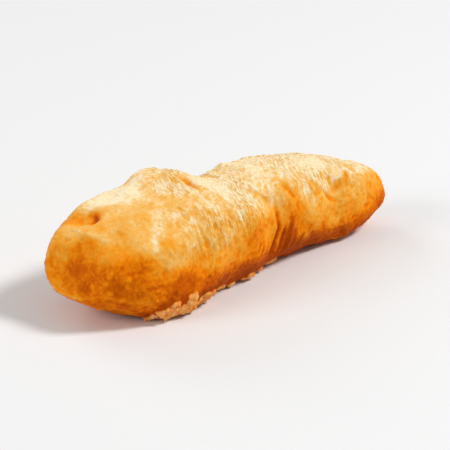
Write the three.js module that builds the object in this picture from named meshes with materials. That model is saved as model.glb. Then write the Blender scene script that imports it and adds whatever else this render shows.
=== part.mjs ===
// A battered, deep-fried fish fillet: one tapered piece of loin in a crisp golden crust,
// lying on the flat underside that it settled onto. Millimetres.
// +X runs from the blunt thick end to the slimmer tail end, -Y is the front, +Z is up,
// and the origin is on the ground under the middle of the fillet.

import * as THREE from "three";
import { mergeVertices } from "three/addons/utils/BufferGeometryUtils.js";
import { ImprovedNoise } from "three/addons/math/ImprovedNoise.js";

// ---------------------------------------------------------------- driving dimensions

const LENGTH = 113; // of the whole piece, before its blunt end is cut
const CRUST_COLOUR = 0xe8a04a;

// The body's sections from the blunt end to the tail. at is the share of the length,
// front and back are the half widths on each side of the spine, top is the height,
// lift is how far the underside has curled up, and square and under are how boxy the
// section's upper and lower halves are: 2 is an ellipse, and a large number is a box.
const SECTIONS = [
  { at: 0.0, front: 17, back: 11, top: 22.5, lift: 7.5, square: 3, under: 2.7 },
  { at: 0.2, front: 20, back: 17.5, top: 26, lift: 0, square: 3.2, under: 3 },
  { at: 0.4, front: 17.5, back: 17, top: 27, lift: 0, square: 2.8, under: 2.1 },
  { at: 0.53, front: 14.5, back: 15, top: 26, lift: 0, square: 2.7, under: 2.1 },
  { at: 0.66, front: 12, back: 15, top: 25.2, lift: 0.5, square: 2.6, under: 2.2 },
  { at: 0.82, front: 11, back: 15, top: 23.6, lift: 0, square: 2.6, under: 2.2 },
  { at: 1.0, front: 11.5, back: 12, top: 19, lift: 1.5, square: 3, under: 2.8 },
];

const PRESSED_FLAT = 1.6; // how much of the rounded underside is pressed flat

// The knife's cut across the blunt end: which way it faces, how far it is from the
// origin, and how far the crust is rounded over its edge.
const CUT = { facing: new THREE.Vector3(-0.93, -0.14, 0.35), distance: 50.8, rounding: 2 };

// Grid lines over the body: along its length, across it and up it.
const GRID = { along: 62, across: 22, up: 15 };

// The waist: a fold where the thick lobe laps onto the tail lobe. It crosses the top at
// crown, and swings towards the tail as it comes over the shoulder, down to foot.
const WAIST = { crown: 1, foot: 10, width: 4.4, frontDepth: 1.5, backDepth: 2.2 };

// Wrinkles in the batter beside the waist, on the lower front flank.
const WRINKLES = { pitch: 5, depth: 0.4, reach: 7, middleHeight: 11, spread: 6 };

// Pits where steam broke out of the batter, and blisters where it didn't: a height above
// zero stands out.
const MARKS = [
  { at: new THREE.Vector3(-39.5, 6.5, 22), radius: 3, height: -1.5 },
  { at: new THREE.Vector3(32.5, -8.5, 16.5), radius: 3.4, height: -1.4 },
  { at: new THREE.Vector3(-11, -2.5, 26.5), radius: 3, height: -1.3 },
  { at: new THREE.Vector3(-13, 10, 25), radius: 7, height: 2.4 },
  { at: new THREE.Vector3(11, 9, 24), radius: 7, height: -1 },
];

// Ragged batter that ran down the front of the thick lobe and set at its foot.
const SKIRT = { from: -38, to: -12, height: 4, spread: 3.2, reach: 1.6, crag: 3.2 };

// Waves in the crust, as wavelength and height.
const LUMPS = [
  { wave: 17, height: 1.4, seed: 3.1 },
  { wave: 7.5, height: 0.8, seed: 11.7 },
  { wave: 4.2, height: 0.45, seed: 23.3 },
];

// ---------------------------------------------------------------- helpers

const noise = new ImprovedNoise();

// 1 at the middle, falling to nearly nothing at two half widths away.
function bump(distance, halfWidth) {
  return Math.exp(-((distance / halfWidth) ** 2));
}

function waves(p, wave, seed) {
  return noise.noise(p.x / wave + seed, p.y / wave + seed, p.z / wave + seed);
}

// A section's value at a share of the length, on a smooth curve through the stations.
function alongBody(key, share) {
  const last = SECTIONS.length - 1;
  const value = (n) => SECTIONS[THREE.MathUtils.clamp(n, 0, last)][key];
  let i = 0;
  while (i < last - 1 && share > SECTIONS[i + 1].at) i += 1;
  const u = (share - SECTIONS[i].at) / (SECTIONS[i + 1].at - SECTIONS[i].at);
  const leaving = (value(i + 1) - value(i - 1)) / 2;
  const arriving = (value(i + 2) - value(i)) / 2;
  return (
    value(i) * (2 * u ** 3 - 3 * u ** 2 + 1) +
    leaving * (u ** 3 - 2 * u ** 2 + u) +
    value(i + 1) * (3 * u ** 2 - 2 * u ** 3) +
    arriving * (u ** 3 - u ** 2)
  );
}

// ---------------------------------------------------------------- body

// Moves a point of the box from -1 to 1 onto the plain body.
function toBody(p) {
  const n = THREE.MathUtils.lerp(
    alongBody("under", (p.x + 1) / 2),
    alongBody("square", (p.x + 1) / 2),
    THREE.MathUtils.smoothstep(p.z, -1, 1),
  );
  p.divideScalar((Math.abs(p.x) ** n + Math.abs(p.y) ** n + Math.abs(p.z) ** n) ** (1 / n));
  const share = (p.x + 1) / 2;
  const underside = alongBody("lift", share) - PRESSED_FLAT;
  p.x *= LENGTH / 2;
  p.y *= alongBody(p.y < 0 ? "front" : "back", share);
  p.z = THREE.MathUtils.lerp(underside, alongBody("top", share), (p.z + 1) / 2);
  const beyondCut = (p.dot(CUT.facing) - CUT.distance) / CUT.rounding;
  p.addScaledVector(CUT.facing, -CUT.rounding * Math.log1p(Math.exp(beyondCut)));
}

// ---------------------------------------------------------------- crust relief

// How far a point lies along the body from the waist's line.
function pastWaist(p) {
  const top = alongBody("top", 0.5);
  const overShoulder = THREE.MathUtils.smoothstep(top - p.z, 0.04 * top, 0.36 * top);
  return p.x - THREE.MathUtils.lerp(WAIST.crown, WAIST.foot, overShoulder);
}

function waist(p) {
  const depth = p.y < 0 ? WAIST.frontDepth : WAIST.backDepth;
  const aboveFoot = THREE.MathUtils.smoothstep(p.z, 1, 9);
  return -depth * aboveFoot * bump(pastWaist(p), WAIST.width);
}

function wrinkles(p) {
  const onFlank = bump(p.z - WRINKLES.middleHeight, WRINKLES.spread) * (p.y < 0 ? 1 : 0);
  const past = pastWaist(p);
  const near = bump(past, WRINKLES.reach);
  return WRINKLES.depth * onFlank * near * Math.cos((2 * Math.PI * past) / WRINKLES.pitch);
}

function marks(p) {
  return MARKS.reduce((sum, { at, radius, height }) => sum + height * bump(p.distanceTo(at), radius), 0);
}

function skirt(p, outwards) {
  const onFront = THREE.MathUtils.smoothstep(-outwards.y, 0, 0.6);
  const along = THREE.MathUtils.smoothstep(p.x, SKIRT.from, SKIRT.from + 6)
    - THREE.MathUtils.smoothstep(p.x, SKIRT.to - 6, SKIRT.to);
  const crags = 0.6 + waves(p, SKIRT.crag, 41.9);
  return SKIRT.reach * onFront * along * bump(p.z - SKIRT.height, SKIRT.spread) * crags;
}

// How far the crust stands out from the plain body at a point.
function relief(p, outwards) {
  const lumps = LUMPS.reduce((sum, { wave, height, seed }) => sum + height * waves(p, wave, seed), 0);
  return lumps + waist(p) + wrinkles(p) + marks(p) + skirt(p, outwards);
}

function filletGeometry() {
  const box = new THREE.BoxGeometry(2, 2, 2, GRID.along, GRID.across, GRID.up);
  box.deleteAttribute("normal");
  box.deleteAttribute("uv");
  const geometry = mergeVertices(box);
  const position = geometry.getAttribute("position");
  const p = new THREE.Vector3();
  const outwards = new THREE.Vector3();
  for (let i = 0; i < position.count; i += 1) {
    toBody(p.fromBufferAttribute(position, i));
    position.setXYZ(i, p.x, p.y, p.z);
  }
  geometry.computeVertexNormals();
  const normal = geometry.getAttribute("normal");
  for (let i = 0; i < position.count; i += 1) {
    p.fromBufferAttribute(position, i);
    outwards.fromBufferAttribute(normal, i);
    p.addScaledVector(outwards, relief(p, outwards));
    position.setXYZ(i, p.x, p.y, Math.max(p.z, 0));
  }
  geometry.computeBoundingBox();
  const middle = geometry.boundingBox.getCenter(new THREE.Vector3());
  geometry.translate(-middle.x, -middle.y, -geometry.boundingBox.min.z);
  geometry.computeVertexNormals();
  return geometry;
}

// ---------------------------------------------------------------- the object

const crust = new THREE.MeshStandardMaterial({
  color: CRUST_COLOUR,
  roughness: 0.6,
  metalness: 0,
});

const fillet = new THREE.Mesh(filletGeometry(), crust);
fillet.name = "fillet";

const object = new THREE.Group();
object.add(fillet);

export default object;
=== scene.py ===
import math
import random

import bpy
import numpy as np
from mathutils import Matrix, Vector, noise


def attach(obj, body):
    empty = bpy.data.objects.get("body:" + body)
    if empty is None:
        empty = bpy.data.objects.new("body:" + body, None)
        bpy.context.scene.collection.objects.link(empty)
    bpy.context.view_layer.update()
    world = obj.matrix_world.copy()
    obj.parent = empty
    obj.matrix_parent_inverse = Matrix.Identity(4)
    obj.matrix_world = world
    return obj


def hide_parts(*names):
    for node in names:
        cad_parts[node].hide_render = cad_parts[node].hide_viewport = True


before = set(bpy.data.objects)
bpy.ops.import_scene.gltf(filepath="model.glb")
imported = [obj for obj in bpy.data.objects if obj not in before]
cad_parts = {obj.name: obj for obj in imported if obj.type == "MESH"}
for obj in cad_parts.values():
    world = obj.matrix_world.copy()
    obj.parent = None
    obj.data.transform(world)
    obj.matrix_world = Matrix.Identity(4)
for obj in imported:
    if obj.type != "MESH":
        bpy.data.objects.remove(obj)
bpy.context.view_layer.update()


# ---------------------------------------------------------------- the crust
# A shell of wheat batter round the fish, set in hot oil. It drapes over the fish in soft
# lumps, is drawn round it in fine wrinkles, laps into a fold at the waist, breaks into
# blisters and pits where steam came through, and ends in crumbs where it ran to the foot.

crust = bpy.data.objects.new("crust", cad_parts["fillet"].data.copy())
bpy.context.scene.collection.objects.link(crust)
crust.data.materials.clear()
bpy.ops.object.select_all(action="DESELECT")
crust.select_set(True)
bpy.context.view_layer.objects.active = crust
bpy.context.view_layer.update()

# Chips of batter along the foot, each set where a line from that side meets the crust: the
# front (-1) or the back (1), the ends of the stretch, how high they reach, and how many.
# Most lie near the bottom, and each stands a little out of the crust.
random.seed(11)
most_often_at = 0.0012
stand_out = 0.0002
crumbs = []
for side, first, last, highest, count in (
    (-1, -0.0375, -0.0270, 0.0058, 66),
    (-1, -0.0265, -0.0170, 0.0046, 36),
    (-1, -0.0160, 0.0120, 0.0026, 22),
    (1, -0.0300, -0.0120, 0.0036, 32),
    (1, 0.0080, 0.0300, 0.0028, 20),
):
    while count:
        up = random.triangular(0.0005, highest, most_often_at)
        beside = Vector((random.uniform(first, last), 0.05 * side, up))
        met, place, facing, _ = crust.ray_cast(beside, Vector((0, -side, 0)))
        if met:
            crumbs.append((place + stand_out * facing, random.uniform(0.00045, 0.0009)))
            count -= 1

# the solid's facets are smoothed off before the crumbs go on, so the crumbs stay angular
bpy.ops.object.mode_set(mode="EDIT")
bpy.ops.mesh.select_all(action="SELECT")
bpy.ops.mesh.remove_doubles(threshold=0.00001)
bpy.ops.object.mode_set(mode="OBJECT")
rounding = crust.modifiers.new("rounding", "SUBSURF")
rounding.levels = 1
bpy.ops.object.modifier_apply(modifier="rounding")

bpy.ops.object.mode_set(mode="EDIT")
bpy.ops.mesh.select_all(action="DESELECT")
for place, radius in crumbs:
    bpy.ops.mesh.primitive_ico_sphere_add(
        subdivisions=1,
        radius=radius,
        location=place,
        rotation=(random.uniform(0, math.tau), random.uniform(-1.1, 0.5), random.uniform(-0.5, 0.5)),
        scale=(random.uniform(1.1, 1.9), random.uniform(0.5, 0.8), random.uniform(0.7, 1.1)),
    )
bpy.ops.object.mode_set(mode="OBJECT")

# one skin of small even faces over the fillet and its crumbs
skin = crust.modifiers.new("skin", "REMESH")
skin.mode = "VOXEL"
skin.voxel_size = 0.00037
bpy.ops.object.modifier_apply(modifier="skin")
softening = crust.modifiers.new("softening", "SMOOTH")
softening.factor = 0.5
softening.iterations = 2
bpy.ops.object.modifier_apply(modifier="softening")


def read_points(mesh, what):
    """The place ("co") or the outward direction ("normal") of each point of a mesh."""
    values = np.empty(len(mesh.vertices) * 3)
    mesh.vertices.foreach_get(what, values)
    return values.reshape(-1, 3)


def waves(points, size, seed):
    """Smooth noise from -1 to 1 in waves about size across."""
    return np.array([noise.noise(spot) for spot in (points / size + seed).tolist()])


def ridges(points, size, seed):
    """1 along thin wandering ridges, falling to about -1 between them."""
    return 1 - 3 * np.abs(waves(points, size, seed))


def ramp(values, low, high):
    """0 up to low and 1 from high on, with a soft step between them."""
    share = np.clip((values - low) / (high - low), 0, 1)
    return share * share * (3 - 2 * share)


def blisters(points, size, share, seed):
    """Domes from 0 to 1, one in some of the cells that are about size across."""
    dome_radius = 0.42  # as a share of the cell's size
    domes = np.zeros(len(points))
    for i, spot in enumerate((points / size + seed).tolist()):
        distances, centres = noise.voronoi(spot)
        draw = noise.cell(centres[0] * 13.7)
        if draw < share:
            domes[i] = max(0, 1 - (distances[0] / dome_radius) ** 2)
    return domes


def near_spot(points, middle, reach):
    """1 at the middle, falling to nothing at about two reaches away along each axis."""
    return np.exp(-(((points - np.array(middle)) / np.array(reach)) ** 2).sum(axis=1))


def near_path(points, path, width):
    """1 along a path, falling to nothing at about two widths away and at the path's ends."""
    path = np.array(path)
    steps = np.diff(path, axis=0)
    lengths = np.linalg.norm(steps, axis=1)
    nearest = np.full(len(points), 1e9)
    travelled = np.zeros(len(points))
    for start, step, length, before in zip(path, steps, lengths, np.cumsum(lengths) - lengths):
        share = np.clip((points - start) @ step / length**2, 0, 1)
        gap = np.linalg.norm(points - start - share[:, None] * step, axis=1)
        closer = gap < nearest
        nearest[closer] = gap[closer]
        travelled[closer] = (before + share * length)[closer]
    share_travelled = np.clip(travelled / lengths.sum(), 0, 1)
    return np.exp(-((nearest / width) ** 2)) * np.sin(np.pi * share_travelled) ** 0.6


spots = read_points(crust.data, "co")
outwards = read_points(crust.data, "normal")
x, y, z = spots.T
facing_front = -outwards[:, 1]
facing_side = np.abs(outwards[:, 1])
facing_up = outwards[:, 2]

# where the crust is smooth, where it is drawn into wrinkles, and where it broke to crumbs
towards_end = -0.93 * x - 0.14 * y + 0.35 * z
on_end = ramp(towards_end, 0.0455, 0.0495)
smooth_lobe = near_spot(spots, (-0.036, -0.002, 0.026), (0.013, 0.016, 0.020))
smooth_band = near_path(
    spots,
    [(0.0085, -0.0020, 0.0252), (0.0110, -0.0080, 0.0238), (0.0132, -0.0105, 0.0189),
     (0.0134, -0.0114, 0.0110), (0.0115, -0.0100, 0.0020)],
    0.0038,
)
wrinkled = (
    ramp(x, -0.036, -0.018) * (1 - 0.4 * ramp(x, 0.036, 0.050))
    * (1 - 0.8 * smooth_lobe) * (1 - 0.75 * smooth_band) * (0.20 + 0.80 * ramp(z, 0.013, 0.022))
    * (0.25 + 0.75 * ramp(waves(spots, 0.0110, 44.1), -0.45, 0.15))
)
# a raised rim along the blunt end's shoulder, also painted paler as a highlight
shoulder_rim = near_path(
    spots,
    [(-0.0445, 0.0125, 0.0202), (-0.0458, 0.0055, 0.0214), (-0.0461, -0.0001, 0.0216),
     (-0.0455, -0.0060, 0.0213)],
    0.0008,
)
on_crumb = np.zeros(len(spots))
crumb_tone = np.zeros(len(spots))
for place, radius in crumbs:
    gap = np.linalg.norm(spots - np.array(place), axis=1)
    on_this = 1 - ramp(gap, radius, radius + 0.0003)
    crumb_tone[on_this > on_crumb] = random.uniform(0.12, 0.60)
    on_crumb = np.maximum(on_crumb, on_this)

# the rough stretch of the front's foot, where most of the crumbs are; it is also painted
# darker there, as shade among the crumbs
crumbly = (
    ramp(x, -0.041, -0.037) * (1 - ramp(x, -0.018, -0.010))
    * (1 - ramp(z, 0.0045, 0.0070)) * ramp(facing_front, 0.0, 0.4)
)

# The wrinkles run round the girth and wander a little. Coming down from the top they lean
# towards the tail on the front and towards the blunt end on the back, and turn the other
# way on the lower half.
girth = spots.copy()
below_top = 0.026 - z
below_middle = np.maximum(below_top - 0.012, 0)
lean = 0.35 * below_top - 1.25 * below_middle
girth[:, 0] += np.tanh(y / 0.008) * lean - 0.31 * y + 0.0005 * waves(spots, 0.0060, 51.3)

# each wrinkle is about four and a half times as long round the girth as it is wide
drawn_out = 0.22
girth[:, 1:] *= drawn_out
streaks = ridges(girth, 0.0017, 21.4)
fine_streaks = ridges(girth, 0.0011, 4.7)
scales = ridges(spots, 0.0017, 14.2)
domes = blisters(spots, 0.0028, 0.30, 2.9)
beads = blisters(spots, 0.0014, 0.14, 8.3)
grain = waves(spots, 0.0008, 31.0)

# how far the crust stands out, in metres: the soft lumps and the rim, then what is small
height = (
    0.00030 * waves(spots, 0.0080, 3.3)
    + 0.00020 * waves(spots, 0.0042, 9.1)
    + 0.0002 * shoulder_rim
)
small = (
    0.00026 * wrinkled * streaks
    + 0.00016 * wrinkled * fine_streaks
    + 0.00012 * (1 - 0.6 * smooth_lobe) * scales
    + 0.00026 * (0.30 + 0.70 * on_end) * domes
    + 0.00014 * beads
    + 0.00005 * grain
    + 0.00025 * np.maximum(crumbly, on_crumb) * ridges(spots, 0.0010, 61.2)
)

# folds and grooves in the crust: a path, how wide and deep it is, how dark its inside is
# painted as shade, and how pale its lips are painted as highlight
folds = [
    # a soft furrow down the waist
    ([(0.0030, 0.0120, 0.0250), (0.0024, -0.0037, 0.0254), (0.0051, -0.0097, 0.0218),
      (0.0078, -0.0110, 0.0160)],
     0.0022, 0.0005, 0.10, 0.00),
    # the folds and small wrinkles that it splits into low on the front
    ([(0.0068, -0.0104, 0.0190), (0.0078, -0.0110, 0.0155), (0.0079, -0.0112, 0.0126),
      (0.0067, -0.0112, 0.0095), (0.0035, -0.0111, 0.0020)],
     0.0008, 0.0007, 0.45, 0.08),
    ([(0.0081, -0.0111, 0.0138), (0.0067, -0.0112, 0.0095), (0.0055, -0.0112, 0.0060)],
     0.0006, 0.0006, 0.75, 0.00),
    ([(0.0104, -0.0113, 0.0125), (0.0092, -0.0108, 0.0080), (0.0070, -0.0095, 0.0020)],
     0.0005, 0.0004, 0.50, 0.08),
    ([(0.0125, -0.0116, 0.0145), (0.0122, -0.0116, 0.0115), (0.0113, -0.0113, 0.0085),
      (0.0092, -0.0091, 0.0015)],
     0.0008, 0.0006, 0.50, 0.08),
    ([(0.0142, -0.0112, 0.0105), (0.0138, -0.0108, 0.0075), (0.0120, -0.0085, 0.0015)],
     0.0005, 0.0004, 0.45, 0.06),
    ([(0.0175, -0.0108, 0.0090), (0.0168, -0.0104, 0.0068), (0.0150, -0.0080, 0.0010)],
     0.0006, 0.0004, 0.40, 0.04),
    ([(0.0048, -0.0126, 0.0125), (0.0020, -0.0132, 0.0055)],
     0.0006, 0.0004, 0.35, 0.05),
    ([(0.0012, -0.0138, 0.0115), (-0.0018, -0.0143, 0.0050)],
     0.0005, 0.0003, 0.28, 0.04),
    # a dimple on top of the thick lobe
    ([(-0.0130, 0.0042, 0.0278), (-0.0131, 0.0007, 0.0273), (-0.0138, -0.0028, 0.0268),
      (-0.0143, -0.0070, 0.0267)],
     0.0010, 0.0011, 0.32, 0.12),
    # the torn edges of two rents where steam broke out, at the blunt end and on the tail lobe
    ([(-0.0388, 0.0082, 0.0234), (-0.0391, 0.0054, 0.0237), (-0.0403, 0.0034, 0.0235),
      (-0.0430, 0.0026, 0.0226)],
     0.0011, 0.0008, 0.50, 0.10),
    ([(0.0350, -0.0070, 0.0206), (0.0352, -0.0080, 0.0186), (0.0345, -0.0082, 0.0172)],
     0.0006, 0.0005, 0.45, 0.00),
    ([(0.0290, -0.0070, 0.0200), (0.0294, -0.0078, 0.0186)],
     0.0006, 0.0004, 0.35, 0.00),
    # shallow grooves over the tail lobe's shoulder and beside the waist
    ([(0.0190, -0.0055, 0.0236), (0.0215, -0.0083, 0.0208), (0.0238, -0.0097, 0.0178),
      (0.0262, -0.0099, 0.0145)],
     0.0010, 0.0006, 0.18, 0.10),
    ([(0.0248, -0.0093, 0.0180), (0.0276, -0.0089, 0.0151), (0.0315, -0.0094, 0.0126)],
     0.0008, 0.0006, 0.26, 0.12),
    ([(0.0373, -0.0025, 0.0203), (0.0380, -0.0056, 0.0196), (0.0394, -0.0081, 0.0172)],
     0.0008, 0.0005, 0.20, 0.10),
    ([(-0.0010, -0.0068, 0.0241), (0.0012, -0.0091, 0.0231), (0.0038, -0.0100, 0.0212),
      (0.0060, -0.0105, 0.0183)],
     0.0008, 0.0005, 0.22, 0.10),
    ([(0.0100, -0.0068, 0.0242), (0.0119, -0.0100, 0.0215), (0.0142, -0.0111, 0.0185)],
     0.0008, 0.0005, 0.18, 0.08),
    # the folds down the back, three at the waist and one on the thick lobe
    ([(0.0020, 0.0115, 0.0210), (0.0058, 0.0127, 0.0180), (0.0070, 0.0134, 0.0130),
      (0.0082, 0.0132, 0.0085), (0.0092, 0.0115, 0.0020)],
     0.0009, 0.0007, 0.40, 0.06),
    ([(0.0100, 0.0138, 0.0140), (0.0110, 0.0138, 0.0090), (0.0112, 0.0115, 0.0015)],
     0.0006, 0.0004, 0.38, 0.05),
    ([(0.0036, 0.0147, 0.0130), (0.0052, 0.0140, 0.0080), (0.0060, 0.0118, 0.0025)],
     0.0006, 0.0004, 0.35, 0.05),
    ([(-0.0222, 0.0180, 0.0170), (-0.0206, 0.0180, 0.0110)],
     0.0008, 0.0005, 0.25, 0.05),
]

# each is pushed in along its path, and the crust on both sides of it swells into lips
lip_width = 2.4  # as a share of the fold's own width
lip_height = 0.4  # as a share of the fold's depth
crease_shade = np.zeros(len(spots))
lip_highlight = np.zeros(len(spots))
for path, width, depth, inner_shade, lip_light in folds:
    crease = near_path(spots, path, width)
    lips = near_path(spots, path, width * lip_width)
    height += depth * (lip_height * lips - crease)
    # painted shade inside each fold, and painted highlight on its lips
    crease_shade = np.maximum(crease_shade, inner_shade * crease)
    lip_highlight = np.maximum(lip_highlight, lip_light * (lips - crease))

# the hollow of the rent at the blunt end, and the other rent with a pale flap over it
hollow = near_path(
    spots,
    [(-0.0388, 0.0018, 0.0236), (-0.0408, 0.0054, 0.0229), (-0.0420, 0.0090, 0.0220),
     (-0.0430, 0.0135, 0.0200)],
    0.0029,
)
tail_rent = near_spot(spots, (0.0322, -0.0082, 0.0170), (0.0027, 0.0024, 0.0017))
torn_flap = near_spot(spots, (0.0318, -0.0078, 0.0198), (0.0028, 0.0024, 0.0014))
rent = np.clip(hollow + tail_rent + torn_flap, 0, 1)
height -= 0.0011 * hollow + 0.0002 * tail_rent

# the small relief fades out in the folds, round the rents and on the flat underside
small *= (1 - ramp(crease_shade, 0, 0.4)) * (1 - 0.7 * rent) * ramp(z, 0, 0.0012)
moved = spots + outwards * (height + small)[:, None]
moved[:, 2] = np.maximum(moved[:, 2], 0)
crust.data.vertices.foreach_set("co", moved.ravel())
crust.data.update()

# How brown each place fried, with painted light and shade laid into it: 0 is the palest
# cream, 1 the deepest brown. It is browner below the shoulder, a line that is given as a
# height at each place along x, and is painted darker there as shade.
shoulder = np.interp(
    x,
    (-0.0450, -0.0396, -0.0363, -0.0267, -0.0150, 0.0050, 0.0350, 0.0500),
    (0.0212, 0.0185, 0.0147, 0.0121, 0.0085, 0.0060, 0.0070, 0.0110),
)
# masks for painted shade: below the shoulder, and low on the flanks
shaded = ramp(shoulder - z, -0.0022, 0.0022)
low_flank_shade = ramp(facing_side, 0.2, 0.8) * (1 - ramp(z, 0.002, 0.018))
bottom_lip = np.exp(-(((facing_up + 0.40) / 0.13) ** 2)) * (1 - ramp(x, -0.040, -0.034))
# the band just below the blunt end's shoulder, where the end is painted paler as light
end_shoulder = np.exp(-(((z - 0.0190) / 0.0026) ** 2))
# painted highlights: a near-white patch along the back of the thick lobe, and a small spot on its
# front near the blunt end
back_highlight = near_path(
    spots, [(-0.0400, 0.0110, 0.0230), (-0.0310, 0.0090, 0.0248), (-0.0225, 0.0065, 0.0262)], 0.0045
)
front_highlight_spot = near_path(spots, [(-0.0362, -0.0130, 0.0230), (-0.0382, -0.0168, 0.0195)], 0.0011)
# paler patches over the top, partly the batter's own cream and partly painted highlight
pale_back = near_spot(spots, (0.021, 0.002, 0.025), (0.024, 0.008, 0.007))
pale_mid = (
    near_spot(spots, (-0.003, -0.008, 0.025), (0.008, 0.005, 0.006))
    + 0.8 * near_spot(spots, (-0.014, -0.013, 0.024), (0.010, 0.006, 0.006))
)
pale_tail = near_path(
    spots,
    [(0.0020, -0.0050, 0.0250), (0.0102, -0.0080, 0.0235), (0.0180, -0.0090, 0.0205),
     (0.0280, -0.0080, 0.0205), (0.0430, -0.0080, 0.0150)],
    0.0042,
)
amber_spots = (
    near_spot(spots, (-0.0184, 0.0057, 0.0285), (0.0030, 0.0030, 0.0030))
    + near_spot(spots, (-0.0344, -0.0072, 0.0256), (0.0020, 0.0024, 0.0020))
)
end_middle = near_spot(spots, (-0.0495, -0.008, 0.0140), (0.006, 0.006, 0.005))
end_corner = near_spot(spots, (-0.0475, -0.0135, 0.0130), (0.0050, 0.0045, 0.0050))
# places painted darker as shade: at the waist's foot and low on the front flanks
waist_foot = near_spot(spots, (0.008, -0.011, 0.004), (0.011, 0.007, 0.005))
waist_flank = near_spot(spots, (-0.001, -0.013, 0.013), (0.008, 0.007, 0.007))
lobe_flank = near_spot(spots, (-0.010, -0.016, 0.013), (0.011, 0.008, 0.007))
browning_and_painted_light = (
    0.36
    # painted shade below the shoulder, where the batter is also browner, and low on the flanks
    + 0.28 * shaded
    + 0.27 * low_flank_shade
    + 0.06 * ramp(x, 0.010, 0.016) * ramp(facing_front, 0.3, 0.9)
    + 0.05 * ramp(x, 0.036, 0.052)
    # painted shade along the foot, next to the floor
    + 0.16 * (1 - ramp(z, 0.000, 0.006))
    # painted light: the crust is paler where it faces up towards the light
    - 0.14 * ramp(facing_up, 0.60, 0.95)
    # the painted highlights on the back and the front of the thick lobe
    - 0.34 * back_highlight
    - 0.20 * front_highlight_spot
    # the paler patches over the top: partly cream batter, partly painted highlight
    - 0.25 * pale_back
    - 0.12 * pale_mid
    - 0.21 * pale_tail
    + 0.02 * smooth_lobe
    # painted highlight along the shoulder's rim
    - 0.09 * shoulder_rim
    - 0.14 * bottom_lip
    + 0.12 * amber_spots
    + 0.25 * smooth_band
    + 0.36 * hollow
    + 0.36 * tail_rent
    - 0.32 * torn_flap
    # the blunt end: browner, and partly painted darker as shade, with painted light making the band
    # under its shoulder and its left side paler
    + on_end * (0.09 - 0.17 * end_shoulder - 0.15 * ramp(y, -0.001, 0.005))
    - 0.05 * on_end * (1 - ramp(z, 0.008, 0.013))
    + 0.09 * end_middle
    # painted shade at the waist's foot and low on the front flanks
    + 0.26 * waist_foot
    + 0.20 * waist_flank
    + 0.12 * lobe_flank
    - 0.12 * end_corner
    # painted shade inside the folds, and painted highlight on their lips
    + crease_shade
    - lip_highlight
    + 0.15 * (1 - 0.4 * on_end) * waves(spots, 0.0090, 7.7)
    + 0.16 * (1 - 0.4 * on_end) * waves(spots, 0.0040, 17.7)
    + 0.13 * on_end * waves(spots, 0.0020, 71.3)
    # painted highlights: the crests of the blisters, wrinkles and scales are paler
    - 0.12 * on_end * ramp(domes, 0.3, 0.9) * (1 - ramp(z, 0.015, 0.018))
    - 0.11 * wrinkled * streaks
    - 0.07 * wrinkled * fine_streaks
    - 0.09 * (1 - 0.7 * smooth_lobe) * (1 - 0.8 * on_end) * scales
    - 0.09 * beads
    - 0.04 * domes
    # painted shade among the crumbs along the front's foot
    + 0.25 * crumbly
)
browning_and_painted_light = np.clip(browning_and_painted_light, 0.12 * wrinkled, 1) * (1 - on_crumb) + crumb_tone * on_crumb

# what the batter's colours read at each point
for name, kind, values in (
    ("browning_and_painted_light", "FLOAT", browning_and_painted_light),
    ("wrinkled", "FLOAT", wrinkled * (1 - ramp(crease_shade, 0, 0.2)) * (1 - rent)),
    ("on_crumb", "FLOAT", on_crumb),
    ("girth", "FLOAT_VECTOR", girth),
):
    layer = crust.data.attributes.new(name, kind, "POINT")
    layer.data.foreach_set("value" if kind == "FLOAT" else "vector", values.ravel())
crust.data.shade_smooth()

batter = bpy.data.materials.new("fried_batter")
batter.use_nodes = True
nodes, links = batter.node_tree.nodes, batter.node_tree.links
surface = nodes["Principled BSDF"]
surface.inputs["IOR"].default_value = 1.45
surface.inputs["Specular IOR Level"].default_value = 0.02
surface.inputs["Subsurface Weight"].default_value = 0.06
surface.inputs["Subsurface Radius"].default_value = (1.0, 0.40, 0.10)
surface.inputs["Subsurface Scale"].default_value = 0.0006


def measure(operation, first, second=None, third=None):
    """A Math node on links or plain numbers, as a link."""
    node = nodes.new("ShaderNodeMath")
    node.operation = operation
    for socket, value in zip(node.inputs, (first, second, third)):
        if isinstance(value, bpy.types.NodeSocket):
            links.new(value, socket)
        elif value is not None:
            socket.default_value = value
    return node.outputs["Value"]


def pattern(vector, scale, detail):
    """Noise from 0 to 1 on a vector, as a link."""
    node = nodes.new("ShaderNodeTexNoise")
    node.inputs["Scale"].default_value = scale
    node.inputs["Detail"].default_value = detail
    links.new(vector, node.inputs["Vector"])
    return node.outputs["Fac"]


def layer_link(name, output):
    """One of the crust's point layers, as a link."""
    node = nodes.new("ShaderNodeAttribute")
    node.attribute_name = name
    return node.outputs[output]


on_object = nodes.new("ShaderNodeTexCoord").outputs["Object"]
specks = pattern(on_object, 1300, 4)
crumbling = pattern(on_object, 2600, 4)

# hair-fine wrinkles, painted palest along their crests as a highlight
hairs = pattern(layer_link("girth", "Vector"), 1400, 2)
from_middle = measure("ABSOLUTE", measure("SUBTRACT", hairs, 0.5))
crests = nodes.new("ShaderNodeMapRange")
crests.interpolation_type = "SMOOTHSTEP"
crests.inputs["From Min"].default_value = 0.0
crests.inputs["From Max"].default_value = 0.10
crests.inputs["To Min"].default_value = 1.0
crests.inputs["To Max"].default_value = 0.0
links.new(from_middle, crests.inputs["Value"])
hair_crests = measure("MULTIPLY", crests.outputs["Result"], layer_link("wrinkled", "Fac"))

# The tone runs from the palest cream to the deepest brown. Specks vary it, the crests of the
# hair-fine wrinkles are painted paler as a highlight, and the wrinkled crust as a whole is a
# little browner.
tone = measure("MULTIPLY_ADD", measure("SUBTRACT", specks, 0.5), 0.36, layer_link("browning_and_painted_light", "Fac"))
tone = measure("MULTIPLY_ADD", hair_crests, -0.19, tone)
tone = measure("MULTIPLY_ADD", layer_link("wrinkled", "Fac"), 0.05, tone)

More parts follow.
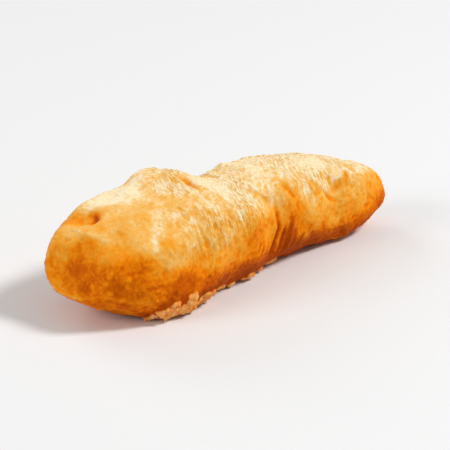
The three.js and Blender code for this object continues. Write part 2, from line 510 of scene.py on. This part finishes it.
colours = nodes.new("ShaderNodeValToRGB")
colours.color_ramp.elements[0].position = 0.0
colours.color_ramp.elements[0].color = (0.90, 0.75, 0.49, 1)
colours.color_ramp.elements[1].position = 1.0
colours.color_ramp.elements[1].color = (0.40, 0.062, 0.001, 1)
for position, colour in (
    (0.20, (0.83, 0.475, 0.130, 1)),
    (0.40, (0.83, 0.345, 0.030, 1)),
    (0.60, (0.82, 0.225, 0.002, 1)),
    (0.78, (0.62, 0.117, 0.001, 1)),
):
    colours.color_ramp.elements.new(position).color = colour
links.new(tone, colours.inputs["Fac"])

# the crumbs are nearer to peach, mixed by a node whose sockets are told apart by number
peach = nodes.new("ShaderNodeMix")
peach.data_type = "RGBA"
peach_share, crust_colour, peach_colour = peach.inputs[0], peach.inputs[6], peach.inputs[7]
mixed_colour = peach.outputs[2]
peach_colour.default_value = (0.86, 0.35, 0.14, 1)
links.new(measure("MULTIPLY", layer_link("on_crumb", "Fac"), 0.42), peach_share)
links.new(colours.outputs["Color"], crust_colour)

# painted shade: the hollows between the hair-fine wrinkles are painted a little darker
trough_shade = measure("SUBTRACT", layer_link("wrinkled", "Fac"), hair_crests)
trough_shading = nodes.new("ShaderNodeHueSaturation")
links.new(measure("MULTIPLY_ADD", trough_shade, -0.14, 1.01), trough_shading.inputs["Value"])
links.new(mixed_colour, trough_shading.inputs["Color"])
links.new(trough_shading.outputs["Color"], surface.inputs["Base Color"])

# a dry, slightly oily surface with a crumbling grain
gloss = nodes.new("ShaderNodeMapRange")
gloss.inputs["To Min"].default_value = 0.36
gloss.inputs["To Max"].default_value = 0.62
links.new(specks, gloss.inputs["Value"])
links.new(gloss.outputs["Result"], surface.inputs["Roughness"])

relief = nodes.new("ShaderNodeBump")
relief.inputs["Strength"].default_value = 0.6
relief.inputs["Distance"].default_value = 0.00014
links.new(measure("MULTIPLY_ADD", hair_crests, 0.8, crumbling), relief.inputs["Height"])
links.new(relief.outputs["Normal"], surface.inputs["Normal"])

crust.data.materials.append(batter)
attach(crust, "root")
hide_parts("fillet")


# ---------------------------------------------------------------- the floor
# A plain white table top that the fillet lies on. It is a painted board, far larger than the
# fillet, so that none of its edges shows.

bpy.ops.object.select_all(action="DESELECT")
bpy.ops.mesh.primitive_plane_add(size=6, location=(0, 0, 0))
floor = bpy.context.object
floor.name = "floor"
white = bpy.data.materials.new("white_floor")
white.use_nodes = True
paint = white.node_tree.nodes["Principled BSDF"]
paint.inputs["Base Color"].default_value = (0.78, 0.78, 0.78, 1)
paint.inputs["Roughness"].default_value = 0.7
floor.data.materials.append(white)


# ---------------------------------------------------------------- the light
# Three soft boxes round the fillet: a small strong one high in front of the tail end, and
# two wider, weaker ones, behind the back and beyond the blunt end. A pale room round them
# fills the shadows.

def soft_box(name, position, size, power):
    lamp = bpy.data.lights.new(name, "AREA")
    lamp.shape = "SQUARE"
    lamp.size = size
    lamp.energy = power
    holder = bpy.data.objects.new(name, lamp)
    holder.location = position
    towards_fillet = Vector((0, 0, 0.015)) - Vector(position)
    holder.rotation_euler = towards_fillet.to_track_quat("-Z", "Y").to_euler()
    bpy.context.scene.collection.objects.link(holder)


soft_box("box_right", (0.52, -0.52, 0.82), 0.25, 9.3)
soft_box("box_behind", (0.10, 0.95, 0.45), 0.5, 2.7)
soft_box("box_left", (-0.98, 0.25, 0.50), 0.5, 4.8)

room = bpy.data.worlds.new("pale_room")
room.use_nodes = True
walls = room.node_tree.nodes["Background"]
walls.inputs["Color"].default_value = (1, 1, 1, 1)
walls.inputs["Strength"].default_value = 0.37
bpy.context.scene.world = room
bpy.context.scene.view_settings.view_transform = "Standard"


# ---------------------------------------------------------------- the camera
# It looks down on the blunt end and the front from a little above, through a long lens. Its
# azimuth is counted from the front, and is negative towards the blunt end.

azimuth = math.radians(-43)
elevation = math.radians(21)
distance = 0.9
backwards = Vector((
    math.sin(azimuth) * math.cos(elevation),
    -math.cos(azimuth) * math.cos(elevation),
    math.sin(elevation),
))
target = Vector((0.0, 0.0, 0.0120))
camera = bpy.data.objects.new("camera", bpy.data.cameras.new("camera"))
camera.data.sensor_width = 36
camera.data.lens = 284
camera.location = target + backwards * distance
camera.rotation_euler = backwards.to_track_quat("Z", "Y").to_euler()
bpy.context.scene.collection.objects.link(camera)
bpy.context.scene.camera = camera
